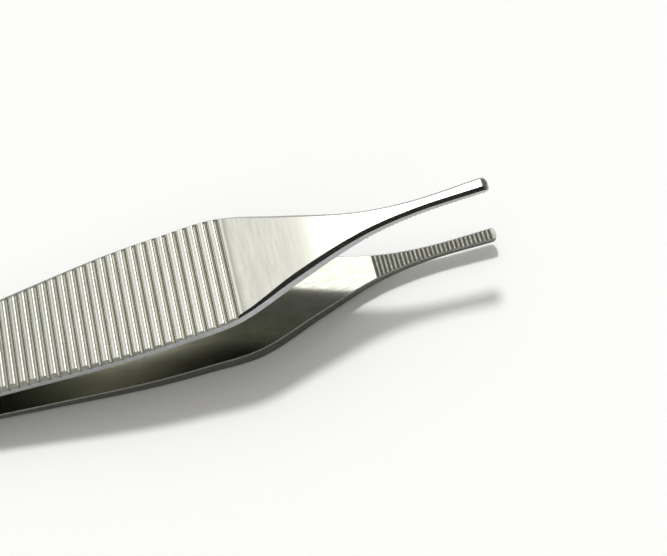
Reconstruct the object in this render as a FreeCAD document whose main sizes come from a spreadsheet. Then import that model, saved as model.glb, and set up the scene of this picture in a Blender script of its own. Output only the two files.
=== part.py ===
# Thumb forceps for tissue: two forged steel arms, welded face to face at the tail, that spring
# open. They have ribbed grips, slender jaws and cross-serrated pads.
#
# Both arms come from one blank. Each is drawn in its own frame: X runs from the front edge of the
# weld to the jaw tip, Z points out of the forceps, and Z = 0 is the plane on which the two jaws
# meet when they are squeezed shut. The lower arm is the same blank turned over.
import FreeCAD, Part
import math
import os
import Sketcher

V = FreeCAD.Vector

doc = FreeCAD.newDocument("thumb_forceps")

# Driving dimensions in millimetres and degrees
sizes = doc.addObject("Spreadsheet::Sheet", "Sizes")
DRIVING = [
    # places along the arm, from the front edge of the weld
    ("weld_length", 8.0), ("bend_at", 3.0), ("spring_at", 19.0), ("rib_rear_at", 36.0),
    ("grip_flare_at", 52.0), ("grip_swell_at", 65.0), ("grip_widest_at", 73.0), ("rib_front_at", 80.2),
    ("shoulder_at", 88.2), ("jaw_root_at", 96.2), ("jaw_waist_at", 103.0), ("arm_reach", 112.0),
    # half of the width there
    ("tail_half", 4.2), ("bend_half", 4.3), ("spring_half", 4.45), ("rib_rear_half", 4.95),
    ("grip_flare_half", 6.0), ("grip_swell_half", 6.84), ("grip_widest_half", 7.0),
    ("rib_front_half", 6.63), ("shoulder_half", 4.28), ("jaw_root_half", 1.8),
    ("jaw_waist_half", 0.92), ("tip_half", 0.86),
    # height of the outer face above the plane of the closed jaws
    ("tail_steel", 1.15), ("bend_outer", 1.3), ("spring_outer", 1.38), ("rib_rear_outer", 1.65),
    ("rib_front_outer", 2.65), ("shoulder_outer", 2.38), ("jaw_root_outer", 1.88),
    ("jaw_waist_outer", 1.5), ("tip_outer", 1.2),
    # opening, and the inner face between the weld and the jaws
    ("half_opening", 3.38), ("bow", 0.3), ("weld_stock", 0.2), ("jaw_gap", 0.04),
    # rounding along both outer edges: inset across the face, and drop down the side
    ("tail_inset", 0.4), ("tail_drop", 0.35), ("spring_inset", 0.6), ("spring_drop", 0.45),
    ("rib_rear_inset", 1.3), ("rib_rear_drop", 0.7), ("grip_inset", 1.6), ("grip_drop", 1.15),
    ("rib_front_inset", 1.15), ("rib_front_drop", 1.2), ("shoulder_inset", 0.5), ("shoulder_drop", 0.65),
    ("jaw_inset", 0.32), ("jaw_drop", 0.42),
    # how far the middle of that rounding stands out, for each millimetre of its width
    ("bevel_bulge", 0.115),
    # rounded corners of the tip and the tail seen from above, and half of the straight edge between
    ("tip_round", 0.6), ("tip_flat", 0.28), ("tail_round", 2.7), ("tail_flat", 1.8),
    # rounding of the tip's outer corner seen from the side
    ("nose_round", 0.9), ("nose_inset", 0.7), ("nose_drop", 0.8),
    # ribs of the thumb grip
    ("rib_pitch", 1.32), ("rib_count", 34), ("rib_depth", 0.34), ("rib_groove", 0.72),
    ("rib_floor", 0.08), ("rib_lip", 0.36),
    # cross serrations of the jaw pad
    ("tooth_pitch", 0.55), ("tooth_count", 31), ("tooth_depth", 0.2), ("tooth_groove", 0.44),
    ("tooth_margin", 0.45),
]
for row, (alias, value) in enumerate(DRIVING, start=1):
    sizes.set("A%d" % row, alias)
    sizes.set("B%d" % row, repr(value))
    sizes.setAlias("B%d" % row, alias)
doc.recompute()


def origin_plane(body, role):
    return next(f for f in body.Origin.OriginFeatures if f.Role == role)


def sketch_on(body, role, name):
    sketch = body.newObject("Sketcher::SketchObject", name)
    sketch.AttachmentSupport = [(origin_plane(body, role), "")]
    sketch.MapMode = "FlatFace"
    return sketch


def number(owner, expression):
    """The value of an expression of the sheet."""
    return float(owner.evalExpression(expression))


def bind(sketch, kind, args, expression):
    """Add a dimension to the sketch and tie it to an expression of the sheet."""
    value = number(sketch, expression)
    index = sketch.addConstraint(Sketcher.Constraint(kind, *args, value))
    sketch.setExpression("Constraints[%d]" % index, expression)


def ends(sketch, index, point):
    """Which end of a line or an arc, 1 or 2, lies at the point."""
    return min((1, 2), key=lambda end: (sketch.getPoint(index, end) - point).Length)


def close_loop(sketch, points, middles=None):
    """Draw a closed ring through the points. A side with a middle point is an arc, others are lines."""
    corners = [V(*point, 0) for point in points]
    ring = corners[1:] + corners[:1]
    for side, (start, end) in enumerate(zip(corners, ring)):
        if middles and side in middles:
            sketch.addGeometry(Part.Arc(start, V(*middles[side], 0), end), False)
        else:
            sketch.addGeometry(Part.LineSegment(start, end), False)
    for side, corner in enumerate(ring):
        following = (side + 1) % len(ring)
        sketch.addConstraint(Sketcher.Constraint(
            "Coincident", side, ends(sketch, side, corner), following, ends(sketch, following, corner)))


def section(body, name, at, inner, half, outer, inset, drop):
    """One cross-section of the arm: flat inner face, side walls, rounded corners, flat outer face."""
    sketch = sketch_on(body, "YZ_Plane", name)
    sketch.setExpression(".AttachmentOffset.Base.z", at)
    sketch.setExpression(".AttachmentOffset.Base.y", inner)
    height = "(%s) - (%s)" % (outer, inner)
    wall = "%s - %s" % (height, drop)
    corner_half = "%s - %s / 2 + Sizes.bevel_bulge * %s" % (half, inset, drop)
    corner_height = "%s - %s / 2 + Sizes.bevel_bulge * %s" % (height, drop, inset)
    crest_half = "%s - %s" % (half, inset)
    right = [(number(sketch, half), 0), (number(sketch, half), number(sketch, wall)),
             (number(sketch, corner_half), number(sketch, corner_height)),
             (number(sketch, crest_half), number(sketch, height))]
    close_loop(sketch, right + [(-y, z) for y, z in reversed(right)])
    wall_right, low_right, high_right, outer_edge, high_left, low_left, wall_left, inner_edge = range(8)
    sketch.addConstraint([
        Sketcher.Constraint("Symmetric", inner_edge, 1, inner_edge, 2, -1, 1),
        Sketcher.Constraint("Symmetric", outer_edge, 1, outer_edge, 2, -2),
        Sketcher.Constraint("Symmetric", low_right, 2, high_left, 2, -2),
        Sketcher.Constraint("Vertical", wall_right),
        Sketcher.Constraint("Vertical", wall_left),
        Sketcher.Constraint("Horizontal", inner_edge),
        Sketcher.Constraint("Horizontal", wall_right, 2, wall_left, 1),
    ])
    bind(sketch, "DistanceX", (inner_edge, 1, inner_edge, 2), "2 * %s" % half)
    bind(sketch, "DistanceX", (high_left, 2, low_right, 2), "2 * (%s)" % corner_half)
    bind(sketch, "DistanceX", (outer_edge, 2, outer_edge, 1), "2 * (%s)" % crest_half)
    bind(sketch, "DistanceY", (wall_right, 1, wall_right, 2), wall)
    bind(sketch, "DistanceY", (wall_right, 1, high_right, 1), corner_height)
    bind(sketch, "DistanceY", (wall_right, 1, outer_edge, 1), height)
    return sketch


def bowed(at):
    """Inner face height: it bows away from the closed jaws' plane between the weld and the pad."""
    return "Sizes.jaw_gap + Sizes.bow * sin(180 * %s / Sizes.jaw_root_at)" % at


def rib_face(at):
    """Outer face height along the ribs, which lie on one flat."""
    return ("Sizes.rib_rear_outer + (Sizes.rib_front_outer - Sizes.rib_rear_outer)"
            " * (%s - Sizes.rib_rear_at) / (Sizes.rib_front_at - Sizes.rib_rear_at)" % at)


def stations(body):
    """The arm's cross-sections from the tail to the tip."""
    weld_rise = "Sizes.weld_length * tan(Sizes.half_opening)"
    rows = [("tail", "-Sizes.weld_length", weld_rise + " - Sizes.weld_stock",
             weld_rise + " + Sizes.tail_steel", "tail", "tail_inset", "tail_drop"),
            ("bend", "Sizes.bend_at", "-Sizes.weld_stock / 4",
             "Sizes.bend_outer", "bend", "tail_inset", "tail_drop"),
            ("spring", "Sizes.spring_at", bowed("Sizes.spring_at"),
             "Sizes.spring_outer", "spring", "spring_inset", "spring_drop"),
            ("rib_rear", "Sizes.rib_rear_at", bowed("Sizes.rib_rear_at"),
             "Sizes.rib_rear_outer", "rib_rear", "rib_rear_inset", "rib_rear_drop")]
    for place in ("grip_flare", "grip_swell", "grip_widest"):
        at = "Sizes.%s_at" % place
        rows.append((place, at, bowed(at), rib_face(at), place, "grip_inset", "grip_drop"))
    for place in ("rib_front", "shoulder"):
        at = "Sizes.%s_at" % place
        rows.append((place, at, bowed(at), "Sizes.%s_outer" % place, place,
                     place + "_inset", place + "_drop"))
    for place, at in (("jaw_root", "jaw_root_at"), ("jaw_waist", "jaw_waist_at"), ("tip", "arm_reach")):
        rows.append((place, "Sizes." + at, "Sizes.jaw_gap", "Sizes.%s_outer" % place, place,
                     "jaw_inset", "jaw_drop"))
    return [section(body, "%s_section" % place, at, inner, "Sizes.%s_half" % half, outer,
                    "Sizes." + inset, "Sizes." + drop)
            for place, at, inner, outer, half, inset, drop in rows]


def pocket(body, sketch, depth, name):
    """Cut the sketch through the arm, to the same depth on both sides of its plane."""
    cut = body.newObject("PartDesign::Pocket", name)
    cut.Profile = sketch
    cut.Midplane = True
    cut.setExpression("Length", depth)
    doc.recompute()
    return cut


def repeated(body, feature, sketch, pitch, count, name):
    """Repeat a cut along the horizontal axis of its own sketch."""
    pattern = body.newObject("PartDesign::LinearPattern", name)
    pattern.Originals = [feature]
    pattern.Direction = (sketch, ["H_Axis"])
    pattern.Mode = "Spacing"
    pattern.Reversed = True
    pattern.setExpression("Offset", pitch)
    pattern.setExpression("Occurrences", count)
    body.Tip = pattern
    doc.recompute()
    return pattern


def weld_land(body):
    """Flat on which the two tails are welded, and the flat ahead of it that meets when closed."""
    sketch = sketch_on(body, "XZ_Plane", body.Name + "_land_sketch")
    beyond = 1.5
    reach = "%s * Sizes.weld_length" % beyond
    rise = "%s * tan(Sizes.half_opening)" % reach
    depth = "Sizes.tail_steel + Sizes.weld_stock"
    rear, high, front, low = (number(sketch, e) for e in (reach, rise, "Sizes.spring_at", depth))
    close_loop(sketch, [(-rear, high), (0, 0), (front, 0), (front, -low), (-rear, -low)])
    land, meeting, front_side, bottom, rear_side = range(5)
    sketch.addConstraint([
        Sketcher.Constraint("Coincident", meeting, 1, -1, 1),
        Sketcher.Constraint("Horizontal", meeting),
        Sketcher.Constraint("Vertical", front_side),
        Sketcher.Constraint("Horizontal", bottom),
        Sketcher.Constraint("Vertical", rear_side),
    ])
    bind(sketch, "DistanceX", (land, 1, land, 2), reach)
    bind(sketch, "DistanceY", (land, 2, land, 1), rise)
    bind(sketch, "DistanceX", (meeting, 1, meeting, 2), "Sizes.spring_at")
    bind(sketch, "DistanceY", (front_side, 2, front_side, 1), depth)
    return pocket(body, sketch, "4 * Sizes.grip_widest_half", body.Name + "_land")


def end_round(body, at, radius, flat, way, name):
    """Shape an end of the arm seen from above: a straight edge between two rounded corners."""
    sketch = sketch_on(body, "XY_Plane", name + "_sketch")
    sketch.setExpression(".AttachmentOffset.Base.x", "%s - %d * %s" % (at, way, radius))
    r, edge_half = number(sketch, radius), number(sketch, flat)
    side, diagonal = edge_half + 2 * r, r * math.sqrt(0.5)
    upper_half = [(way * r, edge_half), (0, edge_half + r), (0, side), (2 * way * r, side)]
    ring = upper_half + [(x, -y) for x, y in reversed(upper_half)]
    bulge = (way * diagonal, edge_half + diagonal)
    close_loop(sketch, ring, {0: bulge, 6: (bulge[0], -bulge[1])})
    arc_high, out_high, top, far, bottom, out_low, arc_low, edge = range(8)
    high_start = ends(sketch, arc_high, V(0, edge_half + r, 0))
    low_start = ends(sketch, arc_low, V(0, -edge_half - r, 0))
    centre = 3
    sketch.addConstraint([
        Sketcher.Constraint("PointOnObject", arc_high, centre, -2),
        Sketcher.Constraint("PointOnObject", arc_high, high_start, -2),
        Sketcher.Constraint("PointOnObject", arc_low, low_start, -2),
        Sketcher.Constraint("Symmetric", arc_high, centre, arc_low, centre, -1),
        Sketcher.Constraint("Horizontal", arc_high, centre, arc_high, 3 - high_start),
        Sketcher.Constraint("Horizontal", arc_low, centre, arc_low, 3 - low_start),
        Sketcher.Constraint("Equal", arc_high, arc_low),
        Sketcher.Constraint("Vertical", out_high),
        Sketcher.Constraint("Horizontal", top),
        Sketcher.Constraint("Symmetric", far, 1, far, 2, -1),
        Sketcher.Constraint("Horizontal", bottom),
        Sketcher.Constraint("Vertical", out_low),
    ])
    bind(sketch, "Radius", (arc_high,), radius)
    bind(sketch, "DistanceY", (arc_low, centre, arc_high, centre), "2 * " + flat)
    bind(sketch, "DistanceY", (out_high, 1, out_high, 2), radius)
    bind(sketch, "DistanceX", (top, 1, top, 2) if way > 0 else (top, 2, top, 1), "2 * " + radius)
    return pocket(body, sketch, "6 * Sizes.rib_front_outer", name)


def nose(body, name):
    """Round the tip's outer corner as seen from the side."""
    sketch = sketch_on(body, "XZ_Plane", name + "_sketch")
    sketch.setExpression(".AttachmentOffset.Base.x", "Sizes.arm_reach - Sizes.nose_inset")
    sketch.setExpression(".AttachmentOffset.Base.y", "Sizes.tip_outer - Sizes.nose_drop")
    radius = number(sketch, "Sizes.nose_round")
    diagonal = radius * math.sqrt(0.5)
    close_loop(sketch, [(0, radius), (radius, 0), (2 * radius, 0), (2 * radius, 2 * radius), (0, 2 * radius)],
               {0: (diagonal, diagonal)})
    arc, low, front, top, rear = range(5)
    sketch.addConstraint([
        Sketcher.Constraint("Coincident", arc, 3, -1, 1),
        Sketcher.Constraint("PointOnObject", low, 1, -1),
        Sketcher.Constraint("PointOnObject", rear, 2, -2),
        Sketcher.Constraint("Horizontal", low),
        Sketcher.Constraint("Vertical", front),
        Sketcher.Constraint("Horizontal", top),
        Sketcher.Constraint("Vertical", rear),
        Sketcher.Constraint("Equal", low, rear),
    ])
    bind(sketch, "Radius", (arc,), "Sizes.nose_round")
    bind(sketch, "DistanceX", (low, 1, low, 2), "Sizes.nose_round")
    return pocket(body, sketch, "4 * Sizes.grip_widest_half", name)


def cutter_sketch(body, name, at, height, slope):
    """Upright sketch on the arm's middle plane, with its horizontal axis along the face to be cut."""
    sketch = sketch_on(body, "XZ_Plane", name + "_sketch")
    sketch.AttachmentOffset = FreeCAD.Placement(V(0, 0, 0), FreeCAD.Rotation(V(0, 0, 1), 1))
    sketch.setExpression(".AttachmentOffset.Rotation.Angle", slope)
    sketch.setExpression(".AttachmentOffset.Base.x", at)
    sketch.setExpression(".AttachmentOffset.Base.y", height)
    return sketch


def rib_groove(body, name):
    """Groove between two ribs: half-round floor, and lips that round the ribs' crests."""
    slope = ("atan((Sizes.rib_front_outer - Sizes.rib_rear_outer)"
             " / (Sizes.rib_front_at - Sizes.rib_rear_at))")
    sketch = cutter_sketch(body, name, "Sizes.rib_front_at", "Sizes.rib_front_outer", slope)
    depth, mouth, floor, lip = "Sizes.rib_depth", "Sizes.rib_groove", "Sizes.rib_floor", "Sizes.rib_lip"
    deep, wide, low, curve = (number(sketch, e) for e in (depth, mouth + " / 2", floor, lip))
    floor_end, mouth_end = V(low, low - deep, 0), V(wide, 0, 0)
    chord = (mouth_end - floor_end).Length
    bulge = curve - math.sqrt(curve ** 2 - chord ** 2 / 4)
    middle = (mouth_end + floor_end) / 2 + V(low - deep, wide - low, 0) * (bulge / chord)
    close_loop(sketch, [(-low, low - deep), (low, low - deep), (wide, 0), (wide, deep), (-wide, deep),
                        (-wide, 0)], {0: (0, -deep), 1: (middle.x, middle.y), 5: (-middle.x, middle.y)})
    floor_arc, right_lip, right_side, top, left_side, left_lip = range(6)
    centre = 3
    sketch.addConstraint([
        Sketcher.Constraint("PointOnObject", floor_arc, centre, -2),
        Sketcher.Constraint("Horizontal", floor_arc, 1, floor_arc, centre),
        Sketcher.Constraint("Horizontal", floor_arc, 2, floor_arc, centre),
        Sketcher.Constraint("PointOnObject", right_side, 1, -1),
        Sketcher.Constraint("Vertical", right_side),
        Sketcher.Constraint("Vertical", left_side),
        Sketcher.Constraint("Horizontal", top),
        Sketcher.Constraint("Symmetric", right_side, 1, left_side, 2, -2),
        Sketcher.Constraint("Equal", right_lip, left_lip),
    ])
    bind(sketch, "DistanceX", (left_side, 2, right_side, 1), mouth)
    bind(sketch, "DistanceY", (right_side, 1, right_side, 2), depth)
    bind(sketch, "DistanceY", (floor_arc, centre, -1, 1), "%s - %s" % (depth, floor))
    bind(sketch, "Radius", (floor_arc,), floor)
    bind(sketch, "Radius", (right_lip,), lip)
    return sketch


def tooth_groove(body, name, shift):
    """V groove between two teeth of the jaw pad, open towards the other jaw."""
    at = "Sizes.arm_reach - Sizes.tooth_margin - %s * Sizes.tooth_pitch" % shift
    sketch = cutter_sketch(body, name, at, "Sizes.jaw_gap", "0")
    mouth, depth = "Sizes.tooth_groove", "Sizes.tooth_depth"
    wide, deep = number(sketch, mouth + " / 2"), number(sketch, depth)
    close_loop(sketch, [(-wide, -deep), (wide, -deep), (wide, 0), (0, deep), (-wide, 0)])
    opening_edge, right_side, right_flank, _, left_side = range(5)
    sketch.addConstraint([
        Sketcher.Constraint("Horizontal", opening_edge),
        Sketcher.Constraint("Vertical", right_side),
        Sketcher.Constraint("Vertical", left_side),
        Sketcher.Constraint("PointOnObject", right_side, 2, -1),
        Sketcher.Constraint("Symmetric", right_side, 2, left_side, 1, -1, 1),
        Sketcher.Constraint("PointOnObject", right_flank, 2, -2),
    ])
    bind(sketch, "DistanceX", (opening_edge, 1, opening_edge, 2), mouth)
    bind(sketch, "DistanceY", (right_side, 1, right_side, 2), depth)
    bind(sketch, "DistanceY", (-1, 1, right_flank, 2), depth)
    return sketch


def arm(name, tooth_shift):
    """One forged arm in its own frame, with ribs outside and a serrated pad inside."""
    body = doc.addObject("PartDesign::Body", name)
    body.Label = name
    cuts = stations(body)
    doc.recompute()
    blank = body.newObject("PartDesign::AdditiveLoft", name + "_blank")
    blank.Profile = cuts[0]
    blank.Sections = cuts[1:]
    doc.recompute()
    weld_land(body)
    end_round(body, "Sizes.arm_reach", "Sizes.tip_round", "Sizes.tip_flat", 1, name + "_tip")
    end_round(body, "-Sizes.weld_length", "Sizes.tail_round", "Sizes.tail_flat", -1, name + "_tail")
    nose(body, name + "_nose")
    across = "4 * Sizes.grip_widest_half"
    rib = rib_groove(body, name + "_rib_groove")
    doc.recompute()
    cut = pocket(body, rib, across, name + "_rib_groove")
    repeated(body, cut, rib, "Sizes.rib_pitch", "Sizes.rib_count", name + "_ribs")
    tooth = tooth_groove(body, name + "_tooth_groove", tooth_shift)
    doc.recompute()
    cut = pocket(body, tooth, across, name + "_tooth_groove")
    repeated(body, cut, tooth, "Sizes.tooth_pitch", "Sizes.tooth_count", name + "_teeth")
    return body


def swung(body, up, over):
    """Turn an arm about the front edge of the weld: over about its length, then up at the tip."""
    turn = FreeCAD.Rotation(V(0, 1, 0), -up) * FreeCAD.Rotation(V(1, 0, 0), over)
    body.Placement = FreeCAD.Placement(V(0, 0, 0), turn)


def resting_tilt(shape):
    """Angle of the line under the lower arm on which it lies, tail to belly, below its weight."""
    outline = [p for wire in shape.slice(V(0, 1, 0), 0) for p in wire.discretize(QuasiDeflection=0.005)]
    hull = []
    for point in sorted(outline, key=lambda p: (p.x, p.z)):
        while len(hull) > 1:
            back, middle = hull[-2], hull[-1]
            if (middle.x - back.x) * (point.z - back.z) > (middle.z - back.z) * (point.x - back.x):
                break
            hull.pop()
        hull.append(point)
    centre = shape.Solids[0].CenterOfMass.x
    rear, front = next(pair for pair in zip(hull[:-1], hull[1:]) if pair[1].x > centre)
    return math.degrees(math.atan2(rear.z - front.z, front.x - rear.x))


upper = arm("upper_arm", "0")
lower = arm("lower_arm", "0.5")

# The forceps lies on its lower arm, so the plane between the arms leans up towards the tips.
opening = sizes.get("half_opening")
swung(lower, -opening, 180)
tilt = resting_tilt(lower.Shape)
swung(lower, tilt - opening, 180)
swung(upper, tilt + opening, 0)

# The origin is the middle of the bounding box, on the table.
box = Part.makeCompound([upper.Shape, lower.Shape]).optimalBoundingBox(False)
to_origin = V(-box.Center.x, -box.Center.y, -box.ZMin)
for body in (upper, lower):
    body.Placement.Base = to_origin
doc.recompute()

for item in doc.Objects:
    if "Invalid" in item.State or "Error" in item.State:
        raise RuntimeError("%s failed: %s" % (item.Name, item.getStatusString()))
os.makedirs("parts", exist_ok=True)
for body in (upper, lower):
    if body.Shape.isNull() or not body.Shape.isValid():
        raise RuntimeError("%s has no valid shape" % body.Label)
for body in (upper, lower):
    body.Shape.exportStep("parts/%s.step" % body.Label)
print("tilt %.4f deg, hinge at %.4f 0 %.4f mm" % (tilt, to_origin.x, to_origin.z))
for body in (upper, lower):
    print(body.Label, "%.1f mm3, %d solid" % (body.Shape.Volume, len(body.Shape.Solids)))
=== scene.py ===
import math

import bmesh
import bpy
from mathutils import Matrix, Vector


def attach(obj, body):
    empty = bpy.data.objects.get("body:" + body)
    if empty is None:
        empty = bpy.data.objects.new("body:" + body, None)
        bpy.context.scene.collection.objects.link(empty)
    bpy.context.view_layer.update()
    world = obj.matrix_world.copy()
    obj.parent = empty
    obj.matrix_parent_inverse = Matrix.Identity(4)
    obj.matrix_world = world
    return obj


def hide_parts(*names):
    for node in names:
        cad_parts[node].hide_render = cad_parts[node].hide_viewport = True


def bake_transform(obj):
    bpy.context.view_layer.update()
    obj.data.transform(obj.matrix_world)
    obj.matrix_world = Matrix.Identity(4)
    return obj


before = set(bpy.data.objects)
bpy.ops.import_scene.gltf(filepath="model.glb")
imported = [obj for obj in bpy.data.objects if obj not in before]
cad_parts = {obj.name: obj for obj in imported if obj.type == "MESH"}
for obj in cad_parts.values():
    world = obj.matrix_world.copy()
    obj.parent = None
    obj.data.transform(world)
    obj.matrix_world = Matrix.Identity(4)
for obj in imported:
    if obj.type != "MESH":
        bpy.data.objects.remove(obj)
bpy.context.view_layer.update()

# Photograph view. The lens stands in front of the near edges and looks down over the jaws.
# Its place and turn were fitted to the outlines in the picture, which is 667 by 556 pixels.
PICTURE_WIDTH, FOCAL_PIXELS = 667, 1180.0
SENSOR_WIDTH = 36.0
CAMERA_PLACE = Vector((0.04106, -0.06077, 0.13749))
CAMERA_FORWARD = Vector((-0.0136, 0.4110, -0.9115))
CAMERA_UP = Vector((0.2663, 0.8802, 0.3929))

camera_data = bpy.data.cameras.new("photo_camera")
camera_data.sensor_width = SENSOR_WIDTH
camera_data.lens = FOCAL_PIXELS / PICTURE_WIDTH * SENSOR_WIDTH
camera_data.clip_start = 0.005
camera = bpy.data.objects.new("photo_camera", camera_data)
back = -CAMERA_FORWARD.normalized()
right = CAMERA_UP.cross(back).normalized()
up = back.cross(right)
camera.matrix_world = Matrix.Translation(CAMERA_PLACE) @ Matrix((right, up, back)).transposed().to_4x4()
bpy.context.scene.collection.objects.link(camera)
bpy.context.scene.camera = camera
bpy.context.scene.view_settings.view_transform = "Standard"

# Table and light. A white table top under a lamp high behind the forceps, as in the picture. The
# room is bright above and behind and pale round the horizon, and dim where the photographer stands.
TABLE_SIDE = 8.0
LAMP_DIRECTION = Vector((-0.03, -0.40, -0.92))
LAMP_WIDTH = math.radians(6.0)
bpy.ops.object.select_all(action="DESELECT")
bpy.ops.mesh.primitive_plane_add(size=TABLE_SIDE, location=(0.0, 0.0, 0.0))
table_top = bpy.context.active_object
table_top.name = "table_top"
white_table = bpy.data.materials.new("white_table")
white_table.use_nodes = True
table_paint = white_table.node_tree.nodes["Principled BSDF"]
table_paint.inputs["Base Color"].default_value = (0.9, 0.9, 0.895, 1.0)
table_paint.inputs["Roughness"].default_value = 0.75
table_paint.inputs["Specular IOR Level"].default_value = 0.2
table_top.data.materials.append(white_table)

lamp_data = bpy.data.lights.new("lamp", "SUN")
lamp_data.energy = 1.8
lamp_data.color = (0.97, 0.98, 1.0)
lamp_data.angle = LAMP_WIDTH
lamp = bpy.data.objects.new("lamp", lamp_data)
lamp.rotation_euler = LAMP_DIRECTION.to_track_quat("-Z", "Y").to_euler()
lamp.visible_glossy = False
bpy.context.scene.collection.objects.link(lamp)

room = bpy.data.worlds.new("room")
room.use_nodes = True
bpy.context.scene.world = room
nodes, links = room.node_tree.nodes, room.node_tree.links
facing = nodes.new("ShaderNodeTexCoord")


def room_light(direction, edge, core, edge_value, core_value):
    """Brightness round a direction. It goes smoothly from one value to the other between two angles,
    which are given by their cosines."""
    angle = nodes.new("ShaderNodeVectorMath")
    angle.operation = "DOT_PRODUCT"
    angle.inputs[1].default_value = Vector(direction).normalized()
    value = nodes.new("ShaderNodeMapRange")
    value.interpolation_type = "SMOOTHSTEP"
    value.inputs["From Min"].default_value = edge
    value.inputs["From Max"].default_value = core
    value.inputs["To Min"].default_value = edge_value
    value.inputs["To Max"].default_value = core_value
    links.new(facing.outputs["Generated"], angle.inputs[0])
    links.new(angle.outputs["Value"], value.inputs["Value"])
    return value.outputs["Result"]


def combined(operation, first, second):
    """Sum or product of two brightnesses."""
    node = nodes.new("ShaderNodeMath")
    node.operation = operation
    links.new(first, node.inputs[0])
    links.new(second, node.inputs[1])
    return node.outputs["Value"]


window = room_light((-0.1, 0.42, 0.90), 0.86, 0.96, 0.0, 0.52)
lamp_face = room_light((0.0, 0.42, 0.907), 0.984, 0.996, 0.0, 3.4)
walls = room_light((0.0, 0.0, 1.0), 0.0, 0.7, 0.16, 0.52)
photographer = room_light((0.05, -0.96, 0.26), 0.82, 0.97, 1.0, 0.12)
lit_room = combined("ADD", combined("ADD", window, lamp_face), walls)
brightness = combined("MULTIPLY", lit_room, photographer)
links.new(brightness, nodes["Background"].inputs["Strength"])
nodes["Background"].inputs["Color"].default_value = (1.0, 0.99, 0.95, 1.0)

# The two arms, forged from steel, milled with ribs outside and teeth inside, ground along the edges
# and tumbled to a satin finish. Their tails are welded together. Places are given in millimetres from
# the front edge of the weld, and heights from the plane on which the closed jaws meet.
MM = 0.001
HINGE = Vector((-51.9305, 0.0, 1.7157)) * MM
REST_TILT = math.radians(4.0479)
HALF_OPENING = math.radians(3.38)
ARM_REACH, TAIL_END, JAW_ROOT = 112.0, -8.0, 96.2
# Place along the arm, half of the width, and the ground edge's width across and down
WIDTHS = [(-8.0, 4.2, 0.4, 0.35), (3.0, 4.3, 0.4, 0.35), (19.0, 4.45, 0.5, 0.4),
          (36.0, 4.95, 0.6, 0.42), (52.0, 6.05, 0.59, 0.41), (65.0, 6.9, 0.39, 0.35),
          (73.0, 6.97, 0.24, 0.32), (80.2, 6.66, 0.24, 0.31), (88.2, 4.1, 0.45, 0.51),
          (96.2, 1.69, 0.38, 0.47), (103.0, 0.82, 0.37, 0.4), (112.0, 0.84, 0.38, 0.4)]
# Height of the outer face at each of these places
UPPER_HEIGHTS = [1.62, 1.25, 1.3, 1.45, 1.69, 1.78, 1.76, 1.75, 2.05, 1.7, 1.38, 1.2]
LOWER_HEIGHTS = [1.62, 1.29, 1.37, 1.63, 2.0, 2.29, 2.47, 2.63, 2.36, 1.86, 1.48, 1.2]
RIB_PITCH, RIB_COUNT, FRONT_GROOVE = 1.32, 34, 80.2
# Half of a groove between two ribs: distance from its middle, and depth
GROOVE = [(0.0, 0.3), (0.05, 0.3), (0.2, 0.13), (0.27, 0.05), (0.34, 0.014), (0.44, 0.0)]
# Shallow line along the middle of each rib: depth, and half of its width
CREST_LINE, CREST_HALF = 0.026, 0.14
TOOTH_PITCH, TOOTH_COUNT, TOOTH_DEPTH, TOOTH_HALF, PAD_MARGIN = 0.55, 28, 0.16, 0.22, 0.45
TIP_ROUND, TIP_FLAT, TAIL_ROUND, TAIL_FLAT = 0.6, 0.28, 2.7, 1.8
INNER_BEVEL, NOSE_ROUND, NOSE_START = 0.12, 0.85, 111.2
# The inner faces part slowly from PARTING to BOW_START, and bow away from each other in front of it
PARTING, PARTING_SLOPE, BOW_START, JAW_GAP, BOW = 8.0, 0.01, 19.0, 0.04, 0.12
LEAST_WALL, LEAST_BEVEL = 0.01, 0.02
PLAIN_STEP, SHOULDER_STEP, LEAST_STEP = 1.0, 0.8, 0.015
# Middle and reach of the painted reflection, a lighter patch on the inner face inside the grip
PAINTED_SHEEN_PLACE, PAINTED_SHEEN_REACH = 60.0, 22.0
# Points above the first height belong to the outer face, and the pad lies in front of the second place
OUTER_FROM, PAD_FROM = 0.6, 90.2
SHARP_EDGE = math.radians(24.0)


def along(places, values, x):
    """Value at x on the smooth curve through the values at the places."""
    x = min(max(x, places[0]), places[-1])
    i = max(k for k in range(len(places) - 1) if places[k] <= x)
    step = places[i + 1] - places[i]
    slope = []
    for k in (i, i + 1):
        low, high = max(k - 1, 0), min(k + 1, len(places) - 1)
        slope.append((values[high] - values[low]) / (places[high] - places[low]) * step)
    t = (x - places[i]) / step
    return (values[i] * (1 + 2 * t) * (1 - t) ** 2 + slope[0] * t * (1 - t) ** 2
            + values[i + 1] * t * t * (3 - 2 * t) + slope[1] * t * t * (t - 1))


def groove_depth(x):
    """Depth at x of the milled groove or of the line on a rib's crest, and zero outside the grip."""
    nearest = min(max(round((FRONT_GROOVE - x) / RIB_PITCH), 0), RIB_COUNT - 1)
    off = abs(x - FRONT_GROOVE + nearest * RIB_PITCH)
    for (near, deep), (far, shallow) in zip(GROOVE[:-1], GROOVE[1:]):
        if off <= far + 1e-6:
            return deep + (shallow - deep) * (off - near) / (far - near)
    if off < RIB_PITCH:
        return max(0.0, CREST_LINE * (1 - abs(off - RIB_PITCH / 2) / CREST_HALF))
    return 0.0


def tooth_cut(x, shift):
    """Depth of the cut between two teeth of the pad at x."""
    front = ARM_REACH - PAD_MARGIN - shift * TOOTH_PITCH
    nearest = min(max(round((front - x) / TOOTH_PITCH), 0), TOOTH_COUNT - 1)
    return max(0.0, TOOTH_DEPTH * (1 - abs(x - front + nearest * TOOTH_PITCH) / TOOTH_HALF))


def inner_face(x):
    """Height of the inner face: closed at the weld, then bowed a little away from the other arm."""
    if x < BOW_START:
        return max(-x * math.tan(HALF_OPENING), PARTING_SLOPE * (x - PARTING), 0.0)
    return JAW_GAP + BOW * math.sin(math.pi * min(x, JAW_ROOT) / JAW_ROOT)


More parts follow.
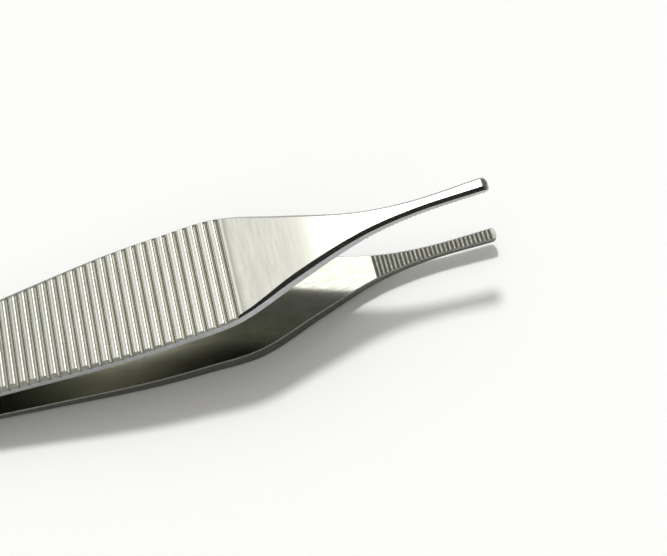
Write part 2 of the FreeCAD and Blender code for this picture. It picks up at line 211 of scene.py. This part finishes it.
def ring(x, heights, shift):
    """The arm's section at x, from the near inner edge over the outer face to the far inner edge."""
    places = [row[0] for row in WIDTHS]
    half, across, down = (along(places, [row[k] for row in WIDTHS], x) for k in (1, 2, 3))
    outer = along(places, heights, x)
    if x > NOSE_START:
        outer -= NOSE_ROUND - math.sqrt(NOSE_ROUND ** 2 - (x - NOSE_START) ** 2)
    for end, radius, flat in ((ARM_REACH, TIP_ROUND, TIP_FLAT), (-TAIL_END, TAIL_ROUND, TAIL_FLAT)):
        into = (x if end == ARM_REACH else -x) - end + radius
        if into > 0:
            half = min(half, flat + math.sqrt(max(radius ** 2 - into ** 2, 0.0)))
    groove, across = groove_depth(x), min(across, 0.5 * half)
    inner = inner_face(x) + tooth_cut(x, shift)
    crest = half - across * max(1 - groove / down, LEAST_BEVEL)
    wall = outer - max(down, groove + LEAST_WALL)
    right = [(half - INNER_BEVEL, inner), (half, inner + INNER_BEVEL), (half, wall), (crest, outer - groove)]
    return [Vector((x, y, z)) for y, z in right + [(-y, z) for y, z in reversed(right)]]


def ring_places(shift):
    """Where the sections stand: close together over ribs, teeth and round ends, wider on plain steel."""
    places = [-5.0 + PLAIN_STEP * k for k in range(42)] + [81.0 + SHOULDER_STEP * k for k in range(18)]
    for k in range(RIB_COUNT):
        for off in [off for off, _ in GROOVE[1:]] + [RIB_PITCH / 2 - CREST_HALF, RIB_PITCH / 2]:
            places += [FRONT_GROOVE - k * RIB_PITCH - off, FRONT_GROOVE - k * RIB_PITCH + off]
    for k in range(TOOTH_COUNT):
        middle = ARM_REACH - PAD_MARGIN - (k + shift) * TOOTH_PITCH
        places += [middle - TOOTH_HALF, middle, middle + TOOTH_HALF]
    for k in range(7):
        turn = 1 - math.cos(math.radians(15 * k))
        places += [TAIL_END + TAIL_ROUND * turn, ARM_REACH - TIP_ROUND * turn]
    kept = [TAIL_END]
    for x in sorted(x for x in places if TAIL_END < x <= ARM_REACH):
        if x - kept[-1] > LEAST_STEP:
            kept.append(x)
    return kept


def forged_arm(name, heights, shift):
    """Draw the arm out from the tail to the tip, one section after another."""
    bpy.ops.object.select_all(action="DESELECT")
    bpy.ops.mesh.primitive_circle_add(vertices=8, radius=4 * MM, fill_type="NGON")
    piece = bpy.context.active_object
    piece.name = name
    bpy.ops.object.mode_set(mode="EDIT")
    bpy.ops.mesh.select_all(action="SELECT")
    for count, x in enumerate(ring_places(shift)):
        if count:
            bpy.ops.mesh.extrude_region_move()
        shape = bmesh.from_edit_mesh(piece.data)
        front = next(face for face in shape.faces if face.select)
        for corner, point in zip(front.verts, ring(x, heights, shift)):
            corner.co = point * MM
    bpy.ops.mesh.select_all(action="SELECT")
    bpy.ops.mesh.normals_make_consistent(inside=False)
    bpy.ops.object.mode_set(mode="OBJECT")
    return piece


scratches = bpy.data.node_groups.new("fine_scratches", "ShaderNodeTree")
scratches.interface.new_socket("Vector", in_out="INPUT", socket_type="NodeSocketVector")
scratches.interface.new_socket("Stretch", in_out="INPUT", socket_type="NodeSocketVector")
scratches.interface.new_socket("Height", in_out="OUTPUT", socket_type="NodeSocketFloat")
inside, wires = scratches.nodes, scratches.links
group_in, group_out = inside.new("NodeGroupInput"), inside.new("NodeGroupOutput")
stretched = inside.new("ShaderNodeVectorMath")
stretched.operation = "MULTIPLY"
streaks = inside.new("ShaderNodeTexNoise")
streaks.inputs["Scale"].default_value = 1.0
streaks.inputs["Detail"].default_value = 3.0
streaks.inputs["Roughness"].default_value = 0.65
wires.new(group_in.outputs["Vector"], stretched.inputs[0])
wires.new(group_in.outputs["Stretch"], stretched.inputs[1])
wires.new(stretched.outputs["Vector"], streaks.inputs["Vector"])
wires.new(streaks.outputs["Fac"], group_out.inputs["Height"])


def steel(name, dark, light, changed, smooth, rough, stretch, relief_height):
    """A steel finish whose tone, polish and fine relief follow the grinding marks. Its colour goes
    over to a second one in the cuts, where the darker colour is painted shade with some grime, and
    inside the grip, where the lighter colour of the inner face is a painted reflection."""
    material = bpy.data.materials.new(name)
    material.use_nodes = True
    nodes, links = material.node_tree.nodes, material.node_tree.links
    metal = nodes["Principled BSDF"]
    metal.inputs["Metallic"].default_value = 1.0
    place = nodes.new("ShaderNodeTexCoord")
    grain = nodes.new("ShaderNodeGroup")
    grain.node_tree = scratches
    grain.inputs["Stretch"].default_value = stretch
    links.new(place.outputs["Object"], grain.inputs["Vector"])
    contrast = nodes.new("ShaderNodeMapRange")
    contrast.inputs["From Min"].default_value = 0.35
    contrast.inputs["From Max"].default_value = 0.65
    links.new(grain.outputs["Height"], contrast.inputs["Value"])
    tone = nodes.new("ShaderNodeMix")
    tone.data_type = "RGBA"
    tone.inputs["A"].default_value = (*dark, 1.0)
    tone.inputs["B"].default_value = (*light, 1.0)
    links.new(contrast.outputs["Result"], tone.inputs["Factor"])
    depth = nodes.new("ShaderNodeAttribute")
    depth.attribute_name = "change"
    shade = nodes.new("ShaderNodeMapRange")
    shade.interpolation_type = "SMOOTHSTEP"
    shade.inputs["From Min"].default_value = 0.15
    shade.inputs["From Max"].default_value = 1.0
    links.new(depth.outputs["Fac"], shade.inputs["Value"])
    # Second colour by the change: painted shade with some grime in the cuts, painted reflection on the inner
    # face
    grime_shade_and_sheen = nodes.new("ShaderNodeMix")
    grime_shade_and_sheen.data_type = "RGBA"
    grime_shade_and_sheen.inputs["B"].default_value = (*changed, 1.0)
    links.new(shade.outputs["Result"], grime_shade_and_sheen.inputs["Factor"])
    links.new(tone.outputs["Result"], grime_shade_and_sheen.inputs["A"])
    links.new(grime_shade_and_sheen.outputs["Result"], metal.inputs["Base Color"])
    polish = nodes.new("ShaderNodeMapRange")
    polish.inputs["To Min"].default_value = rough
    polish.inputs["To Max"].default_value = smooth
    links.new(contrast.outputs["Result"], polish.inputs["Value"])
    links.new(polish.outputs["Result"], metal.inputs["Roughness"])
    relief = nodes.new("ShaderNodeBump")
    relief.inputs["Strength"].default_value = 0.3
    relief.inputs["Distance"].default_value = relief_height
    links.new(grain.outputs["Height"], relief.inputs["Height"])
    links.new(relief.outputs["Normal"], metal.inputs["Normal"])
    return material


# Outside: darker in the grooves, which is painted shade with some grime
satin_outside = steel("satin_outside", (0.66, 0.665, 0.61), (0.75, 0.755, 0.7), (0.26, 0.26, 0.22),
                      0.15, 0.2, (2600.0, 300.0, 2600.0), 0.000004)
# Tumbled finish of the pad, also put on the near bevel beside the ribs as painted light
tumbled_pad_and_lit_bevel = steel("tumbled_pad_and_lit_bevel", (0.46, 0.465, 0.42), (0.62, 0.625, 0.57), (0.24, 0.24, 0.21),
                      0.42, 0.52, (2500.0, 2500.0, 2500.0), 0.000015)
# Inner face: its dark colour is painted shade between the arms, the lighter one a painted reflection
inside_painted_shade_and_sheen = steel("inside_painted_shade_and_sheen", (0.22, 0.225, 0.2), (0.3, 0.3, 0.27), (0.55, 0.55, 0.5),
                    0.09, 0.15, (500.0, 5000.0, 5000.0), 0.000006)
ground_wall = steel("ground_wall", (0.4, 0.41, 0.41), (0.5, 0.51, 0.52), (0.4, 0.4, 0.4),
                    0.2, 0.3, (500.0, 5000.0, 5000.0), 0.000006)
# The bevel's dark colour is a painted dark reflection
dark_reflection_bevel = steel("dark_reflection_bevel", (0.2, 0.205, 0.19), (0.3, 0.305, 0.29), (0.2, 0.2, 0.2),
                     0.2, 0.3, (500.0, 5000.0, 5000.0), 0.000006)
shaded_wall = steel("shaded_wall", (0.09, 0.088, 0.075), (0.16, 0.155, 0.135), (0.1, 0.1, 0.09),
                    0.3, 0.4, (500.0, 5000.0, 5000.0), 0.000006)
# Pale colour of the lower arm's inner bevel: a painted highlight
painted_edge_highlight = steel("painted_edge_highlight", (0.3, 0.3, 0.27), (0.8, 0.8, 0.74), (0.5, 0.5, 0.46),
                  0.35, 0.55, (2500.0, 6000.0, 6000.0), 0.00002)

FINISHES = (satin_outside, inside_painted_shade_and_sheen, ground_wall, dark_reflection_bevel, painted_edge_highlight, tumbled_pad_and_lit_bevel, shaded_wall)
OUTSIDE, INSIDE, WALL, DARK_REFLECTION_BEVEL, PAINTED_HIGHLIGHT_EDGE, PAD_AND_LIT_BEVEL, SHADED = range(len(FINISHES))

for name, heights, shift, swing, over in (
        ("upper_arm", UPPER_HEIGHTS, 0.0, REST_TILT + HALF_OPENING, 0.0),
        ("lower_arm", LOWER_HEIGHTS, 0.5, REST_TILT - HALF_OPENING, math.pi)):
    piece = forged_arm(name + "_forged", heights, shift)
    change = piece.data.attributes.new("change", "FLOAT", "POINT")
    for point in piece.data.vertices:
        place = point.co / MM
        # On the outer face the change follows the groove depth, on the pad the tooth depth: painted shade
        # with some grime
        if place.z > OUTER_FROM:
            change.data[point.index].value = groove_depth(place.x) / GROOVE[0][1]
        # On the inner face inside the grip the change is the painted reflection, strongest at its middle
        elif place.x < PAD_FROM:
            change.data[point.index].value = max(1.0 - abs(place.x - PAINTED_SHEEN_PLACE) / PAINTED_SHEEN_REACH, 0.0)
        else:
            change.data[point.index].value = tooth_cut(place.x, shift) / TOOTH_DEPTH
    for finish in FINISHES:
        piece.data.materials.append(finish)
    pad_rear = ARM_REACH - PAD_MARGIN - (TOOTH_COUNT - 1 + shift) * TOOTH_PITCH - TOOTH_HALF
    for face in piece.data.polygons:
        across, out = abs(face.normal.y), face.normal.z
        if across > 0.3 and abs(out) < 0.25:
            face.material_index = WALL if name == "upper_arm" else SHADED
        elif across > 0.45 and out > 0:
            # Beside the ribs the near bevel is painted lighter than the far one; elsewhere the bevel is dark
            lit_near_bevel = face.center.x < FRONT_GROOVE * MM and face.normal.y < 0
            face.material_index = PAD_AND_LIT_BEVEL if lit_near_bevel else DARK_REFLECTION_BEVEL
        # Inner bevels: the wall finish on the upper arm, a painted highlight on the lower arm
        elif across > 0.45:
            face.material_index = WALL if name == "upper_arm" else PAINTED_HIGHLIGHT_EDGE
        # The round nose takes the bevel's painted dark reflection
        elif face.normal.x > 0.3 and face.center.x > NOSE_START * MM:
            face.material_index = DARK_REFLECTION_BEVEL
        # Inner faces behind the pad take the painted shade between the arms; the pad takes the tumbled
        # finish
        elif out < -0.5:
            face.material_index = INSIDE if face.center.x < pad_rear * MM else PAD_AND_LIT_BEVEL
        else:
            face.material_index = OUTSIDE
    turn = Matrix.Rotation(-swing, 4, "Y") @ Matrix.Rotation(over, 4, "X")
    piece.data.transform(Matrix.Translation(HINGE) @ turn)
    bpy.ops.object.select_all(action="DESELECT")
    piece.select_set(True)
    bpy.context.view_layer.objects.active = piece
    bpy.ops.object.shade_smooth_by_angle(angle=SHARP_EDGE)
    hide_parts(name)
    if name == "upper_arm":
        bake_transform(piece)
    else:
        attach(piece, name)
